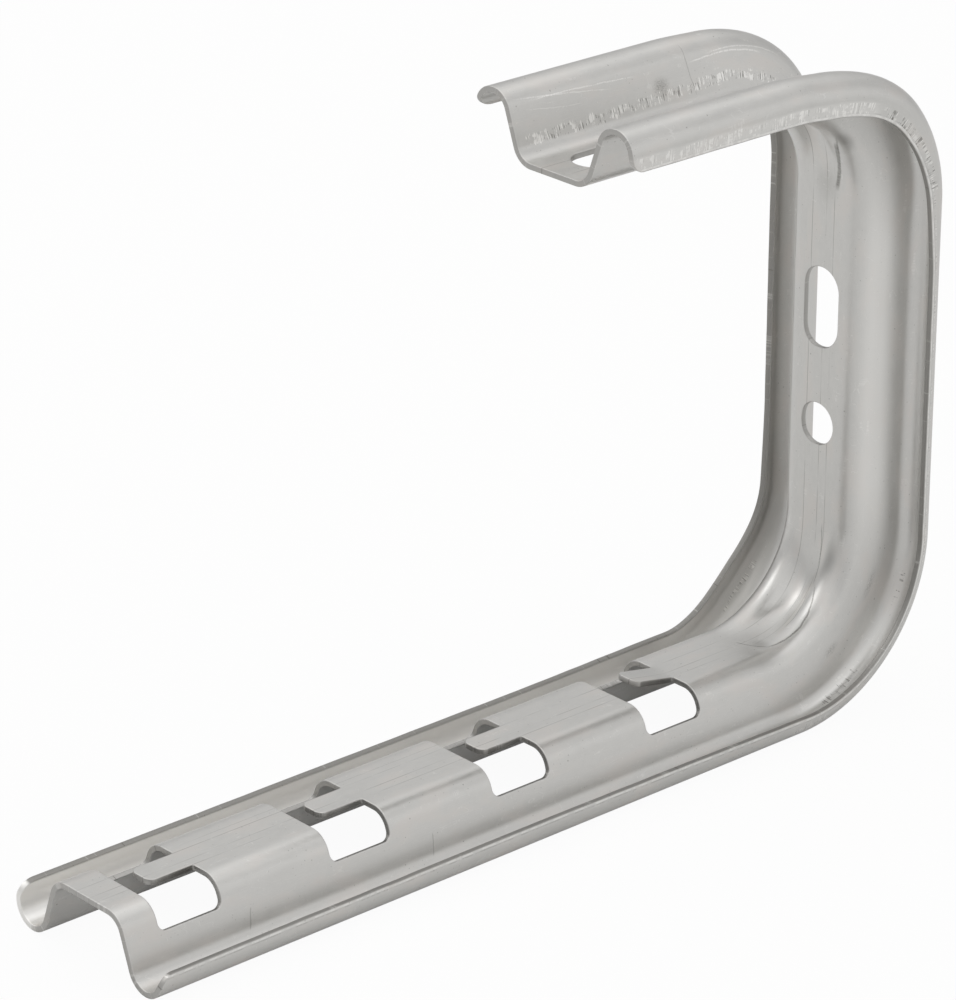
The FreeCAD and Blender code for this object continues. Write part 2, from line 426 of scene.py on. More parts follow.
def liftedTongue(plan):
    # the tongue nearest the bend is bent up about its root
    n = notchSizes
    root = n["margin"] + (n["count"] - 1) * n["pitch"] + n["length"]
    half = n["tongueWidth"] / 2 + n["liftSide"]
    full = math.radians(n["lift"])

    def lift(s, v, z):
        run = root - s
        if not (0 < run < n["tongueLength"] + n["liftTip"] and abs(v) < half):
            return s, v, z
        turn = min(run / n["liftBend"], full)
        past = run - n["liftBend"] * turn
        r = n["liftBend"] - z
        return (root - r * math.sin(turn) - past * math.cos(turn), v,
                n["liftBend"] - r * math.cos(turn) + past * math.sin(turn))
    return lift


def flatBlank(plan):
    columns = blankColumns(plan)
    rows = blankRows(plan)
    outlines = blankOutlines(plan)
    half = plan["sheet"] / 2
    r = plan["edgeRound"]
    arcs = [math.radians(a) for a in blankMesh["rollAngles"]]
    profile = [(r + blankMesh["edgeSupport"], half, 0.0)]
    profile += [(r * (1 - math.sin(a)), half - r * (1 - math.cos(a)), math.sin(a)) for a in arcs]
    profile += [(inset, -z, cut) for inset, z, cut in reversed(profile)]
    support = profile[0][0]
    fine = [roundedLoop(corners, support, columns, rows) for corners in outlines]
    clear = support + blankMesh["guardGap"]
    guard = [roundedLoop(corners, clear, columns, rows) for corners in outlines]
    guard = [(points, loopBox(points)) for points in guard]
    flat = []
    links = []
    for points in fine:
        first = len(flat)
        flat += points
        links += [(first + i, first + (i + 1) % len(points)) for i in range(len(points))]
    flat += [(s, v) for s in columns for v in rows if inMetal(guard, s, v)]
    found, _, faces, origins, _, _ = delaunay_2d_cdt([Vector(p) for p in flat], links, [], 0, 1e-5)
    home = {}
    for k, sources in enumerate(origins):
        for source in sources:
            home[source] = k
    rings = [(points, loopBox(points)) for points in fine]
    kept = []
    for face in faces:
        s = sum(found[k].x for k in face) / len(face)
        v = sum(found[k].y for k in face) / len(face)
        if inMetal(rings, s, v):
            kept.append(face)
    cells = squaredUp(found, kept)
    count = len(found)
    spots = [(p.x, p.y, half) for p in found] + [(p.x, p.y, -half) for p in found]
    cuts = [0.0] * (2 * count)
    polys = [tuple(face) for face in cells]
    polys += [tuple(count + k for k in reversed(face)) for face in cells]
    base = 0
    for points, corners in zip(fine, outlines):
        size = len(points)
        ringStarts = [[home[base + i] for i in range(size)]]
        for inset, z, cut in profile[1:-1]:
            ringStarts.append(list(range(len(spots), len(spots) + size)))
            spots += [(s, v, z) for s, v in roundedLoop(corners, inset, columns, rows)]
            cuts += [cut] * size
        ringStarts.append([count + home[base + i] for i in range(size)])
        for upper, lower in zip(ringStarts, ringStarts[1:]):
            for i in range(size):
                j = (i + 1) % size
                polys.append((upper[i], lower[i], lower[j], upper[j]))
        base += size
    return spots, polys, cuts


def squaredUp(points, triangles):
    # pairs of grid triangles become squares, which shade evenly when folded
    work = bmesh.new()
    verts = [work.verts.new((p.x, p.y, 0.0)) for p in points]
    for face in triangles:
        work.faces.new([verts[k] for k in face])
    work.verts.index_update()
    bmesh.ops.join_triangles(work, faces=work.faces[:],
                             angle_face_threshold=0.1, angle_shape_threshold=0.7)
    cells = []
    for face in work.faces:
        face.normal_update()
        order = [v.index for v in face.verts]
        cells.append(order if face.normal.z > 0 else order[::-1])
    work.free()
    return cells


def blankObject(plan):
    spots, polys, cuts = flatBlank(plan)
    lift = liftedTongue(plan)
    rough = random.Random(lipWaver["seed"])
    waves = [(rough.uniform(*lipWaver["rates"]), rough.uniform(0, 6.28))
             for _ in range(lipWaver["waves"])]

    def wobble(s):
        return sum(math.sin(s * rate + phase) for rate, phase in waves) / len(waves)

    drifts = {side: [(legPlace(plan, leg, part), change) for leg, part, change in marks]
              for side, marks in lipDrift.items()}
    mesh = bpy.data.meshes.new("bracketBlank")
    moved = []
    flatSpots = []
    gaps = []
    for s, v, z in spots:
        side = 1 if v > 0 else -1
        edge = plan["farEdge"] if v > 0 else plan["nearEdge"]
        gap = edge - abs(v)
        drift = driftAt(drifts["far" if v > 0 else "near"], s)
        share = max(0.0, 1 - gap / (edge - plan["curlStart"]))
        fade = max(0.0, 1 - gap / lipWaver["reach"])
        ragged = lipWaver["height"] * 2 * fade * wobble(s + lipWaver["sideShift"] * side)
        v += side * (drift * share + ragged)
        gaps.append(gap * mm)
        flatSpots.append((s * mm, v * mm))
        moved.append([c * mm for c in lift(s, v, z)])
    mesh.from_pydata(moved, [], polys)
    mesh.update()
    layer = mesh.uv_layers.new(name="flatSheet")
    for loop in mesh.loops:
        layer.data[loop.index].uv = flatSpots[loop.vertex_index]
    mesh.attributes.new("cutEdge", "FLOAT", "POINT").data.foreach_set("value", cuts)
    mesh.attributes.new("lipGap", "FLOAT", "POINT").data.foreach_set("value", gaps)
    mesh.polygons.foreach_set("use_smooth", [True] * len(mesh.polygons))
    blank = bpy.data.objects.new("bracketSheet", mesh)
    scene.collection.objects.link(blank)
    print("blank", len(spots), "points", len(polys), "faces")
    return blank


def ramp(run, start, length):
    return (run - start).between(0.0, length)


def arcStep(radius, heading, turn):
    # how far a point goes round an arc from a heading, as two shifts
    after = heading + turn
    across = radius * (after.sin() - sine(heading))
    rise = radius * (cosine(heading) - after.cos())
    return across, rise


def sine(value):
    return value.sin() if isinstance(value, Wire) else math.sin(value)


def cosine(value):
    return value.cos() if isinstance(value, Wire) else math.cos(value)


foldReach = {                         # where the pressed-in forms start and stop
    "flattestDish": 0.002,            # radians, so that nothing is divided by zero
    "pullPeak": 0.12,                 # shares of the top bend, back from its end
    "pullStart": 0.55,
    "pullFade": 0.014,                # metres from here on
    "lip": (0.004, 0.020),
    "curl": (0.0, 0.016),
    "corner": (-0.004, 0.001),
    "curlPinch": 0.6,                 # share of the pinch that the curl doesn't follow
}


def foldTree(names):
    tree = bpy.data.node_groups.new("foldSheet", "GeometryNodeTree")
    tree.interface.new_socket("Blank", in_out="INPUT", socket_type="NodeSocketGeometry")
    for name in names:
        tree.interface.new_socket(name, in_out="INPUT", socket_type="NodeSocketFloat")
    tree.interface.new_socket("Steel", in_out="INPUT", socket_type="NodeSocketMaterial")
    tree.interface.new_socket("Bracket", in_out="OUTPUT", socket_type="NodeSocketGeometry")
    bench = Wire(tree)
    given = bench.node("NodeGroupInput")
    size = {name: given.out(name) for name in names}
    s, v, z = bench.node("GeometryNodeInputPosition").xyz()
    run = v.calc("ABSOLUTE")
    far = v > 0.0
    turnOver = size["Near Turn"] + far * (size["Far Turn"] - size["Near Turn"])

    # along the strip: the heading climbs from 0 to 90 and on to 180 degrees
    lowerMid = size["Lower Bend"] + size["Mid Depth"]
    topMid = size["Top Bend"] + size["Mid Depth"]
    topStart = size["Lower Run"] + size["Lower Arc"] + size["Rise Run"]
    firstTurn = ramp(s, size["Lower Run"], size["Lower Arc"]) / lowerMid
    secondTurn = ramp(s, topStart, size["Top Arc"]) / topMid
    heading = firstTurn + secondTurn
    ax, az = arcStep(size["Lower Bend"], 0.0, firstTurn)
    bx, bz = arcStep(size["Top Bend"], math.pi / 2, secondTurn)
    last = topStart + size["Top Arc"]
    webX = size["Start X"] + s.calc("MINIMUM", size["Lower Run"]) + ax + bx
    webX = webX - (s - last).calc("MAXIMUM", 0.0)
    climbed = ramp(s, size["Lower Run"] + size["Lower Arc"], size["Rise Run"])
    webZ = size["Low Z"] + az + bz + climbed

    # the dish pressed into the web of each bend
    press = (heading * 2.0).sin() ** 2.0
    slope = (size["Dish Angle"] * press).calc("MAXIMUM", foldReach["flattestDish"])
    onWeb = run.calc("MINIMUM", size["Half Web"])
    middle = size["Half Web"] / slope.sin() - size["Corner Bend"]
    hollow = size["Half Web"] * (slope / 2.0).calc("TANGENT")
    bowl = hollow - (middle - (middle ** 2.0 - onWeb ** 2.0).calc("SQRT"))
    toRim = size["Half Web"] - onWeb
    rim = size["Corner Bend"] - (size["Corner Bend"] ** 2.0 - toRim ** 2.0).calc("SQRT")
    onRim = onWeb > (size["Half Web"] - size["Corner Bend"] * slope.sin())
    dish = bowl + onRim * (rim - bowl)
    tiltBowl = (onWeb / middle).calc("ARCSINE")
    tiltRim = (toRim / size["Corner Bend"]).calc("ARCSINE")
    tilt = tiltBowl + onRim * (tiltRim - tiltBowl)

    # across the strip: corner bend, wall, curl and lip
    corner = ramp(run, size["Half Web"], size["Corner Run"]) / size["Corner Bend"]
    cornerY, cornerD = arcStep(size["Corner Bend"], 0.0, corner)
    wall = ramp(run, size["Half Web"] + size["Corner Run"], size["Wall Run"])
    curlStart = size["Half Web"] + size["Corner Run"] + size["Wall Run"]
    curl = ((run - curlStart) / size["Curl Bend"]).between(0.0, turnOver)
    after = size["Wall Slope"] - curl
    curlY = size["Curl Bend"] * (size["Wall Slope"].sin() - after.sin())
    curlD = size["Curl Bend"] * (after.cos() - size["Wall Slope"].cos())
    lip = (run - curlStart - size["Curl Bend"] * turnOver).calc("MAXIMUM", 0.0)
    lean = corner - curl - tilt
    y = onWeb + cornerY + wall * size["Wall Slope"].cos() + curlY + lip * after.cos()
    depth = size["Half Sheet"] + dish + cornerD + wall * size["Wall Slope"].sin() + curlD
    depth = depth + lip * after.sin()
    # the curls are drawn towards the inside of a bend
    lowerPress = (firstTurn * 2.0).sin() ** 2.0
    peak = last - size["Top Arc"] * foldReach["pullPeak"]
    growing = s.ease(last - size["Top Arc"] * foldReach["pullStart"], peak)
    topPress = growing * (1.0 - s.ease(peak, last + foldReach["pullFade"]))
    onLip = (run - curlStart).ease(*foldReach["lip"])
    onCurl = (run - size["Half Web"] - size["Corner Run"]).ease(*foldReach["curl"])
    topPull = size["Top Pull Near"] + far * (size["Top Pull Far"] - size["Top Pull Near"])
    depth = depth - far * lowerPress * onLip * size["Lip Rise"] - topPress * onCurl * topPull
    upright = heading.sin() ** 2.0
    offWeb = (run - size["Half Web"]).ease(*foldReach["corner"])
    pinch = size["Upright Pinch"] * far * upright * offWeb
    y = y + z * lean.sin() - pinch * (1.0 - onCurl * foldReach["curlPinch"])
    depth = depth - z * lean.cos()
    outX = webX + depth * heading.sin()
    outZ = webZ - depth * heading.cos()
    spot = bench.node("ShaderNodeCombineXYZ", inputs={0: outX, 1: y * v.calc("SIGN"), 2: outZ})
    folded = bench.node("GeometryNodeSetPosition", inputs={
        "Geometry": given.out("Blank"), "Position": spot})
    real = bench.node("GeometryNodeRealizeInstances", inputs={0: folded})
    steel = bench.node("GeometryNodeSetMaterial", inputs={
        "Geometry": real, "Material": given.out("Steel")})
    bench.node("NodeGroupOutput", inputs={"Bracket": steel})
    return tree


def inWords(name):
    # halfWeb becomes Half Web
    return "".join(" " + c if c.isupper() else c for c in name).title()


def foldSizes(plan):
    # the fold tree's inputs, named as in the plan but in words
    lengths = ["halfWeb", "cornerBend", "cornerRun", "wallRun", "curlBend", "lowerRun", "lowerArc",
               "lowerBend", "riseRun", "topArc", "topBend", "midDepth"]
    pressed = ["lowZ", "lipRise", "topPullNear", "topPullFar", "uprightPinch"]
    values = {"Half Sheet": plan["sheet"] / 2 * mm}
    values.update({inWords(name): plan[name] * mm for name in lengths})
    values["Start X"] = (plan["wallX"] - plan["lowerReach"]) * mm
    values.update({inWords(name): plan[name] * mm for name in pressed})
    for name in ("wallSlope", "nearTurn", "farTurn", "dishAngle"):
        values[inWords(name)] = math.radians(plan[name])
    return values


def foldedBracket(steel, plan):
    blank = blankObject(plan)
    values = foldSizes(plan)
    tree = foldTree(list(values))
    fold = blank.modifiers.new("fold", "NODES")
    fold.node_group = tree
    for item in tree.interface.items_tree:
        if item.item_type == "SOCKET" and item.in_out == "INPUT" and item.name in values:
            fold[item.identifier] = values[item.name]
        elif item.item_type == "SOCKET" and item.name == "Steel":
            fold[item.identifier] = steel
    bpy.context.view_layer.update()
    finished = blank.evaluated_get(bpy.context.evaluated_depsgraph_get())
    folded = bpy.data.meshes.new_from_object(finished)
    blank.modifiers.remove(fold)
    blank.data = folded
    triangles = sum(len(p.vertices) - 2 for p in folded.polygons)
    materials = [m.name for m in folded.materials]
    print("folded", len(folded.vertices), "points", triangles, "triangles", materials)
    return blank


steelLook = {                         # colours linear, lengths in mm on the flat sheet
    "colour": (0.715, 0.708, 0.690),
    "darkColour": (0.20, 0.193, 0.18),
    "brightColour": (0.92, 0.91, 0.89),
    "warmColour": (0.700, 0.668, 0.640),
    "tone": 0.93,                     # of the plain colour, before the noises shift it
    "toneShifts": {"cloud": 0.12, "grain": 0.08, "fine": 0.05, "mottle": 0.10},
    "warmth": 0.5,
    "roughness": 0.35,
    "roughnessShifts": {"cloud": 0.14, "mottle": 0.12, "grain": 0.08},
    "roughnessLimits": (0.2, 0.7),
    "cutRoughness": 0.08,
    "rollLines": [-3.75, 3.55, -1.1],  # across from the middle of the web
    "rollLineWidth": 0.13,
    "lineDark": 0.42,
    "pitDark": 0.55,
    "scuffBright": 0.28,
    # painted highlight along the near lip's edge, ragged like a burr, with a fine line of painted
    # shade beside it
    "burrHighlightBand": (0.26, 0.66, 0.12),   # from, to and softness, inside the near lip
    "burrHighlightBright": 0.6,
    "burrPaintedShadeBand": (0.80, 1.00, 0.12),
    "burrPaintedShade": 0.35,
    # painted shade on the cut faces, deeper along the lips
    "cutPaintedShade": 0.42,
    "lipCutPaintedShade": 0.35,               # added to it at the lips
    "bumpStrength": 0.25,
    "bumpDistance": 0.00006,          # metres
}
steelSteps = {                        # from where to where in a noise or a mask each thing comes in
    "pit": (0.76, 0.83),
    "pitPatch": (0.44, 0.62),
    "scuffLine": (0.007, 0.002),
    "scuffStreak": (0.42, 0.62),
    "rollLine": (0.36, 0.60),
    "pressPatch": (0.35, 0.60),
    "pressLight": (0.48, 0.60),
    "pressDark": (0.52, 0.66),
    "scratchLight": (0.35, 0.50),
    "burr": (0.40, 0.60),
    "paintedLight": (0.25, 0.75),          # mm from the lip's edge
    "lipCut": (0.3, 0.5),
    "warm": (0.48, 0.68),
    "worn": (0.30, 0.75),
    "patch": (0.1, 1.5),             # in half sizes from its middle
}
steelHeights = {                      # shares of the bump's distance
    "grain": 0.26,
    "fine": 0.04,
    "mottle": 0.16,
    "pits": 0.5,
    "lines": 0.35,
    "press": 3.0,
    "markLine": 0.4,                   # in the same measure as a press mark's streaks
}
steelNoises = {                       # grain along and across in mm, shift, detail, roughness
    "grain": (9.0, 0.16, 0.0, 2.0, 0.6),
    "fine": (0.5, 0.35, 3.0, 2.0, 0.6),
    "cloud": (14.0, 6.0, 1.0, 2.0, 0.5),
    "mottle": (2.4, 1.7, 4.0, 3.0, 0.6),
    "pits": (0.62, 0.62, 6.0, 0.0, 0.5),
    "streaks": (0.36, 6.0, 3.5, 2.0, 0.65),
    "scuffs": (11.0, 3.2, 9.0, 1.0, 0.5),
}
pressMarks = [
    # strokes across the strip where it slid in the press
    # "from" is measured inwards from the lip or outwards from the web's edge
    {"name": "near lip, top arm", "start": ("topArc", 0.72), "end": ("top", 0.99), "side": -1,
     "origin": "lip", "from": 0.55, "width": 2.7, "soft": 0.35, "climb": 0.0, "brighten": 0.4,
     "bright": 0.75, "dark": 0.4},
    {"name": "near lip, top bend", "start": ("topArc", 0.05), "end": ("topArc", 0.72),
     "side": -1, "origin": "lip", "from": 0.55, "width": 2.4, "soft": 0.35, "climb": 0.0,
     "brighten": 0.0, "bright": 0.55, "dark": 0.7},
    {"name": "near curl, lower bend", "start": ("lowerArc", 0.16), "end": ("lowerArc", 0.42),
     "side": -1, "origin": "lip", "from": 8.5, "width": 4.5, "soft": 1.2, "climb": 0.0,
     "brighten": 0.0, "bright": 0.15, "dark": 0.9},
    {"name": "near lip, lower bend", "start": ("lower", 0.97), "end": ("lowerArc", 0.16),
     "side": -1, "origin": "lip", "from": 0.8, "width": 3.0, "soft": 0.8, "climb": 0.0,
     "brighten": 0.15, "bright": 0.5, "dark": 0.8},
    {"name": "near curl, foot of the upright", "start": ("lowerArc", 0.62),
     "end": ("lowerArc", 0.86), "side": -1, "origin": "lip", "from": 9.5, "width": 2.6,
     "soft": 0.9, "climb": 0.0, "brighten": 0.0, "bright": 0.0, "dark": 0.8},
    {"name": "far wall foot, top arm", "start": ("topArc", 0.5), "end": ("top", 0.97),
     "side": 1, "origin": "web", "from": 4.6, "width": 4.6, "soft": 1.7, "climb": 3.0,
     "brighten": 0.05, "bright": 1.0, "dark": 0.8},
    {"name": "far curl, lower bend", "start": ("lowerArc", 0.32), "end": ("lowerArc", 0.64),
     "side": 1, "origin": "lip", "from": 6.2, "width": 2.0, "soft": 0.6, "climb": 0.0,
     "brighten": 0.15, "bright": 0.9, "dark": 0.9},
    {"name": "near lip, upright", "start": ("rise", -0.1), "end": ("rise", 1.1), "side": -1,
     "origin": "lip", "from": 0.9, "width": 0.9, "soft": 0.3, "climb": 0.0, "brighten": 0.1,
     "bright": 0.35, "dark": 0.35},
]
paintedLightBands = [
    # painted light: bands made lighter where the far curl and lip mirror more light, and a painted
    # highlight along the upright's near corner, with long faded ends
    {"name": "far curl and lip, lower arm", "start": ("lower", -0.2), "end": ("lowerArc", 0.3),
     "side": 1, "origin": "lip", "from": -6.0, "width": 19.0, "soft": 2.0, "climb": 0.0,
     "brighten": 1.0},
    {"name": "near corner, upright", "start": ("lowerArc", 0.95), "end": ("topArc", 0.05),
     "side": -1, "origin": "web", "from": 5.0, "width": 7.0, "soft": 2.5, "climb": 0.0,
     "brighten": 0.65},
]
markLines = [
    # fold lines and drag marks: start and end (leg, part, across), bow and width in mm,
    # and darkness, which is below zero for a light line
    # the four lower dish lines are small grooves in the bump with painted shade along the creases
    {"name": "lower dish, turn", "start": ("lowerArc", 0.02, 0.5),
     "end": ("lowerArc", 0.11, -7.6), "bow": -0.6, "width": 0.16, "dark": 0.75},
    {"name": "lower dish, near", "start": ("lowerArc", 0.09, -7.4),
     "end": ("lowerArc", 0.62, -5.8), "bow": -2.4, "width": 0.2, "dark": 0.8},
    {"name": "lower dish, middle", "start": ("lowerArc", 0.3, -5.4),
     "end": ("lowerArc", 0.58, -4.2), "bow": -0.8, "width": 0.11, "dark": 0.5},
    {"name": "lower dish, rise", "start": ("lowerArc", 0.6, -5.2),
     "end": ("lowerArc", 0.98, -3.0), "bow": 0.3, "width": 0.16, "dark": 0.55},
    {"name": "top dish drag", "start": ("topArc", 0.02, -4.4), "end": ("topArc", 0.46, -8.6),
     "bow": 0.4, "width": 0.55, "dark": 0.8},
    {"name": "top dish drag, beside", "start": ("topArc", 0.1, -5.6),
     "end": ("topArc", 0.52, -9.8), "bow": 0.3, "width": 0.2, "dark": 0.5},
    {"name": "near wall line", "start": ("lower", 0.172, -19.3), "end": ("lower", 0.164, -24.6),
     "bow": 0.0, "width": 0.16, "dark": 0.5},
    {"name": "near wall line 2", "start": ("lower", 0.442, -19.0),
     "end": ("lower", 0.435, -24.7), "bow": 0.1, "width": 0.13, "dark": 0.45},
    {"name": "far wall line", "start": ("top", 0.13, 14.0), "end": ("top", 0.15, 27.0),
     "bow": 0.3, "width": 0.12, "dark": 0.4},
    {"name": "scribe, far wall", "start": ("top", 0.4, 22.4), "end": ("top", 0.9, 23.6),
     "bow": 0.4, "width": 0.14, "dark": -0.55},
    {"name": "scribe, far wall 2", "start": ("top", 0.52, 21.2), "end": ("top", 0.97, 24.6),
     "bow": 0.3, "width": 0.12, "dark": -0.45},
    {"name": "scribe, far wall 3", "start": ("top", 0.66, 19.8), "end": ("top", 0.93, 22.0),
     "bow": -0.3, "width": 0.1, "dark": -0.35},
    {"name": "scribe, far bend", "start": ("topArc", 0.72, 23.4), "end": ("top", 0.14, 22.2),
     "bow": 0.3, "width": 0.18, "dark": -0.6},
    {"name": "scribe, far bend 2", "start": ("topArc", 0.6, 24.6), "end": ("top", 0.05, 23.4),
     "bow": 0.2, "width": 0.13, "dark": -0.5},
    {"name": "web line, lower arm", "start": ("lower", 0.15, 5.6), "end": ("lower", 0.6, 5.9),
     "bow": 0.1, "width": 0.09, "dark": 0.3},
]
markLineEnds = {                       # shares of a scratch's length, and of its width
    "fadeIn": (-0.02, 0.12),
    "fadeOut": (0.85, 1.02),
    "edge": (0.4, 1.6),
    "shake": 0.6,                     # mm, how unsteady the lines are
}
patches = [
    # dull patches and painted shade: place (leg, part, across) and half sizes along and across
    {"name": "rub on the far wall", "place": ("top", 0.29, 18.5), "size": (2.4, 2.0),
     "dark": 0.75, "grain": 0.8},
    {"name": "worn patch, near curl", "place": ("top", 0.80, -27.5), "size": (3.0, 0.8),
     "dark": 0.45, "grain": 0.9},
    {"name": "handled patch, near curl", "place": ("lowerArc", 0.37, -18.7), "size": (2.5, 0.9),
     "dark": 0.5, "grain": 0.9},
    {"name": "specks, foot of the upright", "place": ("lowerArc", 0.72, -19.2), "size": (4.0, 0.8),
     "dark": 0.45, "grain": 0.9},
    {"name": "top dish mark", "place": ("topArc", 0.46, -11.2), "size": (4.2, 1.5),
     "dark": 0.5, "grain": 0.1},
    {"name": "top dish shade", "place": ("topArc", 0.05, -1.0), "size": (6.0, 3.4),
     "dark": 0.22, "grain": 0.3},
    # painted dark reflection in the lower dish
    {"name": "lower dish lens", "place": ("lowerArc", 0.78, -7.3), "size": (8.5, 1.8),
     "dark": 0.42, "grain": 0.0},
    # painted shade at the lower dish's fold
    {"name": "lower dish fold", "place": ("lowerArc", 0.10, -5.2), "size": (2.6, 2.8),
     "dark": 0.30, "grain": 0.0},
]
markFades = {"press": 2.5, "paintedLight": 20.0}      # mm, how softly a mark starts and stops


def noiseOn(bench, s, v, along, across, shift, detail, rough):
    spot = bench.node("ShaderNodeCombineXYZ", inputs={0: s / along, 1: v / across, 2: shift})
    return bench.node("ShaderNodeTexNoise", {"noise_dimensions": "3D"}, {
        "Vector": spot, "Scale": 1.0, "Detail": detail, "Roughness": rough}, output="Fac")


def mixed(bench, share, first, second, blend="MIX"):
    kind = {"data_type": "RGBA", "blend_type": blend}
    return bench.node("ShaderNodeMix", kind, {"Factor": share, 6: first, 7: second}, output=2)


def bandMask(value, low, high, soft):
    return value.ease(low - soft, low + soft) * (1.0 - value.ease(high - soft, high + soft))


def markArea(plan, mark, s, v, gap, fade):
    outward = v * float(mark["side"])
    place = gap if mark["origin"] == "lip" else outward - plan["halfWeb"]
    start, end = legPlace(plan, *mark["start"]), legPlace(plan, *mark["end"])
    if mark["climb"]:
        place = place - mark["climb"] * (1.0 - (s - start) / (end - start))
    across = bandMask(place, mark["from"], mark["from"] + mark["width"], mark["soft"])
    return bandMask(s, start, end, fade) * across * (outward > 0.0)


def markLineMask(plan, markLine, s, v, shake):
    s0 = legPlace(plan, *markLine["start"][:2])
    s1 = legPlace(plan, *markLine["end"][:2])
    v0, v1 = markLine["start"][2], markLine["end"][2]
    if abs(s1 - s0) > abs(v1 - v0):
        t = (s - s0) / (s1 - s0)
        off = v - (v0 + t * (v1 - v0) + markLine["bow"] * 4.0 * t * (1.0 - t))
    else:
        t = (v - v0) / (v1 - v0)
        off = s - (s0 + t * (s1 - s0) + markLine["bow"] * 4.0 * t * (1.0 - t))
    inside = t.ease(*markLineEnds["fadeIn"]) * (1.0 - t.ease(*markLineEnds["fadeOut"]))
    core, rim = [markLine["width"] * share for share in markLineEnds["edge"]]
    line = 1.0 - (off + shake).calc("ABSOLUTE").ease(core, rim)
    return line * inside * abs(markLine["dark"])


def patchMask(plan, patch, s, v, grain):
    place = legPlace(plan, *patch["place"][:2])
    ds = (s - place) / patch["size"][0]
    dv = (v - patch["place"][2]) / patch["size"][1]
    far = (ds * ds + dv * dv).calc("SQRT")
    worn = grain.ease(*steelSteps["worn"]) * patch["grain"] + (1.0 - patch["grain"])
    return (1.0 - far.ease(*steelSteps["patch"])) * worn * patch["dark"]


